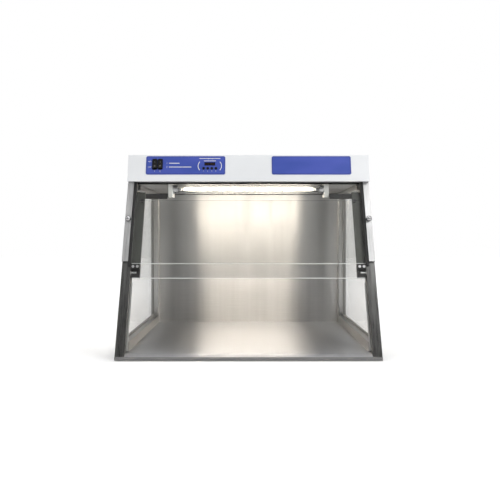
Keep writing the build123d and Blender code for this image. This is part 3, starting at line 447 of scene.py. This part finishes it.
class Face:
    """A flat face of a node, with places on it measured along X and up the face from its middle."""

    def __init__(self, node, upward, outward):
        corners = [v.co for v in nodes[node].data.vertices]
        self.upward, self.outward = upward, outward
        self.left, self.right = span([c.x for c in corners])
        self.x = (self.left + self.right) / 2
        self.low, self.high = span([c.dot(upward) for c in corners])
        self.rise = (self.low + self.high) / 2
        self.inner, self.outer = span([c.dot(outward) for c in corners])

    def at(self, x=0, rise=0, beside=None):
        """A frame on the face, placed from its own middle or from that of a face beside it."""
        middle = beside or self
        along = Vector((middle.x + x, 0, 0))
        place = along + self.upward * (middle.rise + rise) + self.outward * self.outer
        return frame_on(place, self.upward, self.outward)


def hood_face(node):
    """The face of a node that lies on the hood's sloping front."""
    return Face(node, hood_up, hood_out)


def add_piece(name, mesh, material, body):
    """Makes an object of a mesh, which rides on a body and wears the material it is given."""
    mesh.materials.append(material)
    piece = bpy.data.objects.new(name, mesh)
    bpy.context.scene.collection.objects.link(piece)
    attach(piece, body)
    return piece


def piece_from(form, name, body, slot, material=None):
    """Turns built geometry into a piece, of the slot's material or its own."""
    bmesh.ops.remove_doubles(form, verts=form.verts, dist=2 * least_gap)
    bmesh.ops.recalc_face_normals(form, faces=form.faces)
    mesh = bpy.data.meshes.new(name)
    form.to_mesh(mesh)
    form.free()
    add_piece(name, mesh, material or slot_materials[slot], body)


def welded(node):
    """The form of a node, with the corners that its faces share made one."""
    form = bmesh.new()
    form.from_mesh(nodes[node].data)
    bmesh.ops.remove_doubles(form, verts=form.verts, dist=least_gap)
    return form


def add_prism(form, profile, place, left, right):
    """Adds a bar of even section along a place's X, from a profile of points in its Y and Z."""
    ends = [[form.verts.new(place @ Vector((x, *point))) for point in profile] for x in (left, right)]
    for k in range(len(profile)):
        after = (k + 1) % len(profile)
        form.faces.new((ends[0][k], ends[0][after], ends[1][after], ends[1][k]))
    form.faces.new(ends[0][::-1])
    form.faces.new(ends[1])


def add_stroke(form, points, width, place, depth=print_depth, closed=False):
    """Adds a flat line of even width through 2-D points, as a thin closed strip."""
    count = len(points)
    outer, inner = [], []
    for i, point in enumerate(points):
        before = points[i - 1] if i or closed else points[i]
        after = points[(i + 1) % count] if i < count - 1 or closed else points[i]
        along = (Vector(after) - Vector(before)).normalized()
        side = Vector((-along.y, along.x)) * width / 2
        outer.append(Vector(point) + side)
        inner.append(Vector(point) - side)
    rings = []
    for a, b in zip(outer, inner):
        corners = [(a.x, a.y, depth), (b.x, b.y, depth), (b.x, b.y, 0), (a.x, a.y, 0)]
        rings.append([form.verts.new(place @ Vector(corner)) for corner in corners])
    for i in range(count if closed else count - 1):
        first, second = rings[i], rings[(i + 1) % count]
        for k in range(4):
            form.faces.new((first[k], first[(k + 1) % 4], second[(k + 1) % 4], second[k]))
    if not closed:
        form.faces.new(rings[0][::-1])
        form.faces.new(rings[-1])


def add_letters(form, text, size, place):
    """Adds flat characters, centred on a place."""
    curve = bpy.data.curves.new("letters", "FONT")
    curve.body, curve.size, curve.extrude = text, size, print_depth / 2
    curve.align_x, curve.align_y = "CENTER", "CENTER"
    holder = bpy.data.objects.new("letters", curve)
    mesh = bpy.data.meshes.new_from_object(holder)
    mesh.transform(place @ Matrix.Translation((0, 0, print_depth / 2)))
    form.from_mesh(mesh)
    bpy.data.objects.remove(holder)
    bpy.data.meshes.remove(mesh)


def arc(radius, start, end, centre=(0, 0), steps=14):
    """Points on an arc, angles in degrees."""
    angles = [math.radians(start + (end - start) * i / steps) for i in range(steps + 1)]
    return [(centre[0] + radius * math.cos(a), centre[1] + radius * math.sin(a)) for a in angles]


# Rounded edges

# Radii of the folded, drawn or moulded edges, by node
edge_radii = {
    0.0016: ["hood_shell"],
    0.0015: [
        "front_post_left", "front_post_right", "rear_posts", "bottom_rail_left", "bottom_rail_right",
        "top_rail_left", "top_rail_right",
    ],
    0.0010: ["rear_cover", "base_pan", "light_diffuser", "lamp_holders", "recirculator_case"],
    0.0007: ["cover_strip_left", "cover_strip_right", "pivot_blocks", "clamp_plates", "header_rail"],
    0.0004: [
        "switch_frames", "light_switch", "lamp_switch", "lamp_arms", "glass_supports", "mains_inlet",
        "fuse_drawer", "timer_button_1", "timer_button_2", "timer_button_3", "timer_button_4",
    ],
}


def soften(node, radius):
    """Replaces a node by the same form with its sharp edges rounded.

    A large radius goes only to the long edges that stand out, because one short edge limits them all.
    """
    flat_angle, sharp_angle = math.radians(0.5), math.radians(35)
    large_radius, long_edge = 0.001, 20 * radius
    form = welded(node)
    bmesh.ops.dissolve_limit(form, angle_limit=flat_angle, verts=form.verts, edges=form.edges)
    sharp = [e for e in form.edges if e.is_manifold and e.calc_face_angle() > sharp_angle]
    if radius >= large_radius:
        sharp = [e for e in sharp if e.is_convex and e.calc_length() > long_edge]
    bmesh.ops.bevel(
        form, geom=sharp, offset=radius, segments=2, profile=0.5, affect="EDGES", clamp_overlap=True
    )
    bmesh.ops.dissolve_degenerate(form, dist=least_gap, edges=form.edges)
    bmesh.ops.triangulate(form, faces=form.faces, quad_method="BEAUTY", ngon_method="BEAUTY")
    for face in form.faces:
        face.smooth, face.material_index = True, 0
    mesh = bpy.data.meshes.new(node + "_rounded")
    form.to_mesh(mesh)
    mesh.normals_split_custom_set(corner_normals(form))
    form.free()
    piece = add_piece(node + "_rounded", mesh, material_for(node), body_of[node])
    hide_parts(node)


def corner_normals(form):
    """Corner normals that keep large faces flat and let only the rounded edges between them turn."""
    least_likeness = math.cos(math.radians(50))
    normals = []
    for face in form.faces:
        for loop in face.loops:
            near = [f for f in loop.vert.link_faces if f.normal.dot(face.normal) > least_likeness]
            total = sum((f.normal * f.calc_area() for f in near), Vector())
            normals.append((total or face.normal).normalized())
    return normals


# Printed marks


def make_panel_print():
    """White marks on the control panel: ON and OFF, plain numbers, rules and two arcs round the timer."""
    face = hood_face("control_panel")
    form = bmesh.new()

    switch = hood_face("switch_frames")
    word_size, word_x, word_rise = 0.0052, -0.0225, 0.0085
    for text, rise in (("ON", word_rise), ("OFF", -word_rise)):
        add_letters(form, text, word_size, face.at(word_x, rise, switch))
    rocker_number_size, rocker_x, rocker_number_rise = 0.0055, 0.0078, -0.0208
    for number, x in (("1", -rocker_x), ("2", rocker_x)):
        add_letters(form, number, rocker_number_size, face.at(x, rocker_number_rise, switch))

    list_number_size, list_x = 0.0065, switch.x - face.x + 0.027
    rule_start, rule_width = 0.006, 0.0019
    for number, rise, length in (("1", 0.0062, 0.030), ("2", -0.0052, 0.064)):
        place = face.at(list_x, rise)
        add_letters(form, number, list_number_size, place)
        add_stroke(form, [(rule_start, 0), (rule_start + length, 0)], rule_width, place)

    display = hood_face("timer_display")
    arc_radius, arc_angle, arc_middle = 0.019, 42, (0.0145, 0)
    arc_width, arc_rise, heading_width = 0.0017, -0.006, 0.0015
    for side in (-1, 1):
        curve = [(side * x, y) for x, y in arc(arc_radius, -arc_angle, arc_angle, arc_middle)]
        add_stroke(form, curve, arc_width, face.at(0, arc_rise, display))
    for rise, half in ((0.0092, 0.017), (0.0165, 0.030)):
        add_stroke(form, [(-half, 0), (half, 0)], heading_width, face.at(0, rise, display))

    button_number_size, button_number_rise = 0.0042, -0.0082
    for number in "1234":
        button = hood_face(f"timer_button_{number}")
        add_letters(form, number, button_number_size, face.at(0, button_number_rise, button))
    piece_from(form, "panel_print", "cabinet", "white_plastic")


def make_panel_borders():
    """A darker printed line inside the edge of each blue plate."""
    inset, line_width, radius, corner_steps = 0.0022, 0.0012, 0.003, 5
    border_film = film("border_film", (0.028, 0.042, 0.20), (0.036, 0.052, 0.24))
    for node in ("control_panel", "label_panel"):
        plate = hood_face(node)
        half_width = (plate.right - plate.x) - inset
        half_height = (plate.high - plate.low) / 2 - inset
        outline = []
        for quarter, (sx, sy) in enumerate(((1, 1), (-1, 1), (-1, -1), (1, -1))):
            centre = (sx * (half_width - radius), sy * (half_height - radius))
            outline += arc(radius, quarter * 90, quarter * 90 + 90, centre, corner_steps)
        form = bmesh.new()
        add_stroke(form, outline, line_width, plate.at(), closed=True)
        piece_from(form, node + "_border", "cabinet", "blue_panel", border_film)


def make_display_digits():
    """Four unlit digits of seven segments each, and a colon, behind the timer's smoked window."""
    digit_places, colon_rise = (-0.0128, -0.0068, 0.0028, 0.0088), 0.0016
    width, height, bar, depth = 0.0040, 0.0068, 0.0008, 0.00004
    half, end_gap = height / 2, bar * 0.8
    face = hood_face("timer_display")
    lying = [((0, y), (width, y)) for y in (-half, 0, half)]
    standing = [((x, y), (x, y + half)) for x in (0, width) for y in (-half, 0)]
    form = bmesh.new()
    for x in digit_places:
        for start, end in lying + standing:
            along = (Vector(end) - Vector(start)).normalized() * end_gap
            add_stroke(form, [Vector(start) + along, Vector(end) - along], bar, face.at(x), depth)
    for rise in (-colon_rise, colon_rise):
        add_stroke(form, [(-bar / 2, 0), (bar / 2, 0)], bar, face.at(0, rise), depth)
    digit_red = moulded("digit_red", (0.035, 0.004, 0.003), rough=0.3)
    piece_from(form, "display_digits", "cabinet", "display_window", digit_red)


def make_rocker_marks():
    """A bar for on and a ring for off, printed in grey on each rocker's two halves."""
    mark_rise, bar_half, bar_width = 0.0062, 0.0017, 0.0006
    ring_radius, ring_width, ring_points = 0.0016, 0.0005, 16
    ring = arc(ring_radius, 0, 360 - 360 / ring_points, steps=ring_points - 1)
    grey_print = moulded("grey_print", grey(0.28), rough=0.4)
    for node in ("light_switch", "lamp_switch"):
        form = bmesh.new()
        add_stroke(form, [(0, -bar_half), (0, bar_half)], bar_width, surface_frame(node, mark_rise))
        add_stroke(form, ring, ring_width, surface_frame(node, -mark_rise), closed=True)
        piece_from(form, node + "_marks", body_of[node], "white_plastic", grey_print)


def surface_frame(node, rise):
    """A frame on the surface of a node in the hood's face, above or below the node's middle."""
    start_gap = 0.05
    face = hood_face(node)
    start = Vector((face.x, 0, 0)) + hood_up * (face.rise + rise) + hood_out * (face.outer + start_gap)
    form = bmesh.new()
    form.from_mesh(nodes[node].data)
    place, normal, _, _ = BVHTree.FromBMesh(form).ray_cast(start, -hood_out)
    form.free()
    if place is None:
        raise ValueError(f"nothing of {node} lies at rise {rise}")
    return frame_on(place, (hood_up - normal * hood_up.dot(normal)).normalized(), normal)


# Edges, seals and screws


def make_ground_edges():
    """Ground lower edges of the two front panes, wrapped round each edge as a thin bright band."""
    proud, rise, door_inset = 0.00012, 0.0009, 0.004
    for node, inset in (("upper_glass", 0), ("lower_glass", door_inset)):
        face = Face(node, slope_up, slope_out)
        depth = face.outer - face.inner
        outside = [(rise, proud), (-proud, proud), (-proud, -depth - proud), (rise, -depth - proud)]
        inside = [(rise, -depth), (0, -depth), (0, 0), (rise, 0)]
        place = face.at(0, face.low - face.rise)
        ends = (face.left + inset - face.x, face.right - inset - face.x)
        form = bmesh.new()
        add_prism(form, outside + inside, place, *ends)
        piece_from(form, node + "_ground_edge", body_of[node], "glass", ground_glass)


def make_screw_recess_shade():
    """A flat dark cross on the head of each screw that shows: painted shade standing for its cross recess."""
    arm, bar, depth, second_depth = 0.0017, 0.0006, 0.00003, 0.000045
    back_margin, side_margin = 0.004, 0.02
    recesses = {"cabinet": [], "door": []}
    for low, high in islands("casing_screws"):
        middle = (low + high) / 2
        if high.y > cad_high.y - back_margin and abs(middle.x) < cad_high.x - side_margin:
            place, outward = Vector((middle.x, high.y, middle.z)), Vector(back)
        else:
            side = math.copysign(1, middle.x)
            place = Vector((high.x if side > 0 else low.x, middle.y, middle.z))
            outward = side * Vector(across)
        recesses["cabinet"].append(frame_on(place, Vector(up), outward))
    heads = Face("clamp_screws", slope_up, slope_out)
    for low, high in islands("clamp_screws"):
        middle = (low + high) / 2
        place = middle + slope_out * (heads.outer - middle.dot(slope_out))
        recesses["door"].append(frame_on(place, slope_up, slope_out))
    for body, places in recesses.items():
        form = bmesh.new()
        for place in places:
            add_stroke(form, [(-arm, 0), (arm, 0)], bar, place, depth)
            add_stroke(form, [(0, -arm), (0, arm)], bar, place, second_depth)
        piece_from(form, f"{body}_screw_recess_shade", body, "black_metal")


def islands(node):
    """Lowest and highest corner of each separate solid in a node, from left to right."""
    form = welded(node)
    waiting, found = set(form.verts), []
    while waiting:
        group, growing = set(), [waiting.pop()]
        while growing:
            vertex = growing.pop()
            group.add(vertex)
            for edge in vertex.link_edges:
                other = edge.other_vert(vertex)
                if other in waiting:
                    waiting.discard(other)
                    growing.append(other)
        found.append(tuple(
            Vector(pick(v.co[i] for v in group) for i in range(3)) for pick in (min, max)
        ))
    form.free()
    return sorted(found, key=lambda pair: tuple(round(c, 4) for c in pair[0]))


def make_ceiling_bead():
    """A dark bead of sealant in the corner where the ceiling meets the rear wall."""
    radius, slack = 0.0045, 0.0001
    low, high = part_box("ceiling_plate")
    corner = Vector((0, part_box("rear_wall")[0].y - slack, low.z - slack))
    profile = [(0, 0)] + arc(radius, 180, 270, steps=6)
    form = bmesh.new()
    add_prism(form, profile, Matrix.Translation(corner), low.x + slack, high.x - slack)
    piece_from(form, "ceiling_bead", "cabinet", "rubber")


def make_pane_top_shade_strip():
    """A black strip in the rubber finish under the hood's lip, in the groove in front of the upper pane, as
    painted shade for the gap under the lip.
    """
    height, depth, slack = 0.0030, 0.0034, 0.0002
    pane = Face("upper_glass", slope_up, slope_out)
    sink = depth * math.tan(slope_lean)
    profile = [(-height, slack), (-slack, slack), (-slack - sink, depth), (-height - sink, depth)]
    place = pane.at(0, pane.high - pane.rise)
    form = bmesh.new()
    add_prism(form, profile, place, pane.left - pane.x + slack, pane.right - pane.x - slack)
    piece_from(form, "pane_top_shade_strip", "cabinet", "rubber")


# Stage


def make_floor():
    """A wide pale floor that keeps the cabinet's shadow and whitens with the distance."""
    reach = 6
    near_lift, near = 0.18, 0.45
    far_lift, far = 0.50, 1.6
    form = bmesh.new()
    bmesh.ops.create_grid(form, x_segments=4, y_segments=4, size=reach)
    mesh = bpy.data.meshes.new("floor")
    form.to_mesh(mesh)
    form.free()
    floor = bpy.data.objects.new("floor", mesh)
    bpy.context.scene.collection.objects.link(floor)
    s = Shader("floor")
    s.set(Base_Color=(*grey(0.88), 1), Roughness=0.9, Specular_IOR_Level=0.1)
    rays = s.add("ShaderNodeLightPath").outputs
    seen = s.calculate("MAXIMUM", rays["Is Camera Ray"], rays["Is Transmission Ray"])
    distance = s.add("ShaderNodeVectorMath", operation="LENGTH")
    s.put(s.coords, distance.inputs[0])
    lift = s.spread(distance.outputs["Value"], near_lift, far_lift, near, far)
    glow = s.add("ShaderNodeEmission")
    s.put(s.calculate("MULTIPLY", seen, lift), glow.inputs["Strength"])
    both = s.add("ShaderNodeAddShader")
    s.put(s.main.outputs["BSDF"], both.inputs[0])
    s.put(glow.outputs["Emission"], both.inputs[1])
    s.put(both.outputs["Shader"], s.surface)
    mesh.materials.append(s.material)


def make_world():
    """White behind the object, a plain level of light on it, and a darker room behind the camera.

    Metal mirrors the backdrop and the ceiling in white, and glass shows all but the room in white.
    """
    plain_level, room_level, white = 0.62, 0.18, 1.0
    toward_room = (0, -0.78, 0.62)
    # Shares of a direction's length along Y, along Z and toward the room, where the levels meet
    backdrop_edge, ceiling_edge, room_edge = (-0.25, 0.15), (0.66, 0.92), (0.70, 0.88)
    world = bpy.data.worlds.new("studio")
    world.use_nodes = True
    bpy.context.scene.world = world
    g = Graph(world.node_tree)
    background = g.tree.nodes["Background"]
    background.inputs["Color"].default_value = (1, 1, 1, 1)
    rays = g.add("ShaderNodeLightPath").outputs
    direction = g.add("ShaderNodeTexCoord").outputs["Generated"]
    axes = g.add("ShaderNodeSeparateXYZ")
    g.put(direction, axes.inputs["Vector"])

    def soft_step(value, edge, low, high):
        """Turns from one level to another over a soft edge."""
        return g.spread(value, low, high, *edge, interpolation_type="SMOOTHSTEP")

    backdrop = soft_step(axes.outputs["Y"], backdrop_edge, 0, 1)
    ceiling = soft_step(axes.outputs["Z"], ceiling_edge, 0, 1)
    mirrored = g.mix(g.calculate("MAXIMUM", backdrop, ceiling), room_level, white)
    facing_room = g.add("ShaderNodeVectorMath", {1: toward_room}, operation="DOT_PRODUCT")
    g.put(direction, facing_room.inputs[0])
    through_glass = soft_step(facing_room.outputs["Value"], room_edge, white, room_level)
    level = g.mix(rays["Is Glossy Ray"], plain_level, mirrored)
    level = g.mix(rays["Is Transmission Ray"], level, through_glass)
    g.put(g.mix(rays["Is Camera Ray"], level, white), background.inputs["Strength"])


def make_lamp(name, place, target, size, watts, colour=(1, 1, 1), tall=None):
    """A soft lamp that faces a point: square, or as tall as given."""
    data = bpy.data.lights.new(name, "AREA")
    data.size, data.energy, data.color = size, watts, colour
    if tall:
        data.shape, data.size_y = "RECTANGLE", tall
    lamp = bpy.data.objects.new(name, data)
    lamp.location = place
    lamp.rotation_euler = (Vector(target) - Vector(place)).to_track_quat("-Z", "Y").to_euler()
    bpy.context.scene.collection.objects.link(lamp)


def make_lamps():
    """A large lamp at the upper right, a weaker one on the left, one overhead, and the work light's own."""
    middle = (0, 0, 0.3)
    make_lamp("key_lamp", (1.85, -1.75, 1.85), middle, size=1.2, watts=31)
    make_lamp("fill_lamp", (-1.8, -1.6, 1.65), middle, size=1.2, watts=8)
    make_lamp("top_lamp", (0, 0.2, 2.2), middle, size=1.6, watts=11)
    gap, toward_wall = 0.006, Vector((0, 0.18, -0.07))
    place = Vector((0, diffuser_high.y + gap, diffuser_low.z - gap))
    width = diffuser_high.x - diffuser_low.x
    make_lamp("work_lamp", place, place + toward_wall, width, 0.3, work_light_colour, tall=0.03)


bpy.context.scene.view_settings.view_transform = "Standard"
make_camera()
dress_nodes()
for radius, names in edge_radii.items():
    for name in names:
        soften(name, radius)
make_panel_print()
make_panel_borders()
make_display_digits()
make_rocker_marks()
make_ground_edges()
make_screw_recess_shade()
make_ceiling_bead()
make_pane_top_shade_strip()
make_floor()
make_world()
make_lamps()
